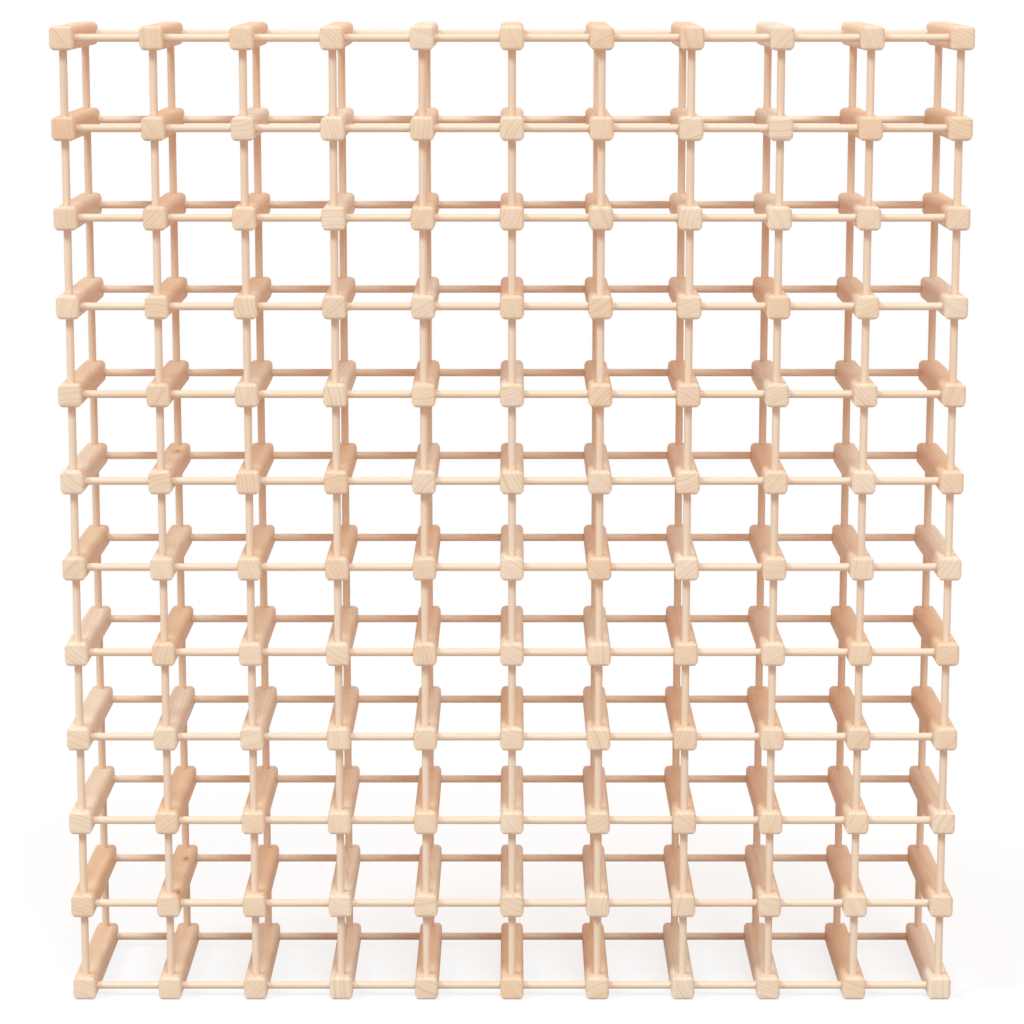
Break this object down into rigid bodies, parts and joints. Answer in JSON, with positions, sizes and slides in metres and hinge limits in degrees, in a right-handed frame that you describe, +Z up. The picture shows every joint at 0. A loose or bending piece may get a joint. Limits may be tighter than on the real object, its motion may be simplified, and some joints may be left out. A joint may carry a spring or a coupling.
{
  "type": "wine rack",
  "caption": "Free-standing pine wine rack: square rails in a grid, joined by round dowels in blind sockets; each cell holds one bottle lying front to back.",
  "frame": {"origin": "on the floor under the middle of the rack", "axes": "+X to the right seen from the front, +Y from the front to the rear along the rails, +Z up"},
  "size_m": [1.099, 0.23, 1.206],
  "materials": {
    "rail_pine": "natural planed pine",
    "dowel_pine": "natural turned pine"
  },
  "bodies": {
    "root": {"rails_row_01": "rail_pine", "front_cross_dowels_row_01": "dowel_pine", "rear_cross_dowels_row_01": "dowel_pine", "rails_row_02": "rail_pine", "front_cross_dowels_row_02": "dowel_pine", "rear_cross_dowels_row_02": "dowel_pine", "rails_row_03": "rail_pine", "front_cross_dowels_row_03": "dowel_pine", "rear_cross_dowels_row_03": "dowel_pine", "rails_row_04": "rail_pine", "front_cross_dowels_row_04": "dowel_pine", "rear_cross_dowels_row_04": "dowel_pine", "rails_row_05": "rail_pine", "front_cross_dowels_row_05": "dowel_pine", "rear_cross_dowels_row_05": "dowel_pine", "rails_row_06": "rail_pine", "front_cross_dowels_row_06": "dowel_pine", "rear_cross_dowels_row_06": "dowel_pine", "rails_row_07": "rail_pine", "front_cross_dowels_row_07": "dowel_pine", "rear_cross_dowels_row_07": "dowel_pine", "rails_row_08": "rail_pine", "front_cross_dowels_row_08": "dowel_pine", "rear_cross_dowels_row_08": "dowel_pine", "rails_row_09": "rail_pine", "front_cross_dowels_row_09": "dowel_pine", "rear_cross_dowels_row_09": "dowel_pine", "rails_row_10": "rail_pine", "front_cross_dowels_row_10": "dowel_pine", "rear_cross_dowels_row_10": "dowel_pine", "rails_row_11": "rail_pine", "front_cross_dowels_row_11": "dowel_pine", "rear_cross_dowels_row_11": "dowel_pine", "rails_row_12": "rail_pine", "front_cross_dowels_row_12": "dowel_pine", "rear_cross_dowels_row_12": "dowel_pine", "front_upright_dowels_tier_01": "dowel_pine", "rear_upright_dowels_tier_01": "dowel_pine", "front_upright_dowels_tier_02": "dowel_pine", "rear_upright_dowels_tier_02": "dowel_pine", "front_upright_dowels_tier_03": "dowel_pine", "rear_upright_dowels_tier_03": "dowel_pine", "front_upright_dowels_tier_04": "dowel_pine", "rear_upright_dowels_tier_04": "dowel_pine", "front_upright_dowels_tier_05": "dowel_pine", "rear_upright_dowels_tier_05": "dowel_pine", "front_upright_dowels_tier_06": "dowel_pine", "rear_upright_dowels_tier_06": "dowel_pine", "front_upright_dowels_tier_07": "dowel_pine", "rear_upright_dowels_tier_07": "dowel_pine", "front_upright_dowels_tier_08": "dowel_pine", "rear_upright_dowels_tier_08": "dowel_pine", "front_upright_dowels_tier_09": "dowel_pine", "rear_upright_dowels_tier_09": "dowel_pine", "front_upright_dowels_tier_10": "dowel_pine", "rear_upright_dowels_tier_10": "dowel_pine", "front_upright_dowels_tier_11": "dowel_pine", "rear_upright_dowels_tier_11": "dowel_pine"}
  },
  "joints": []
}
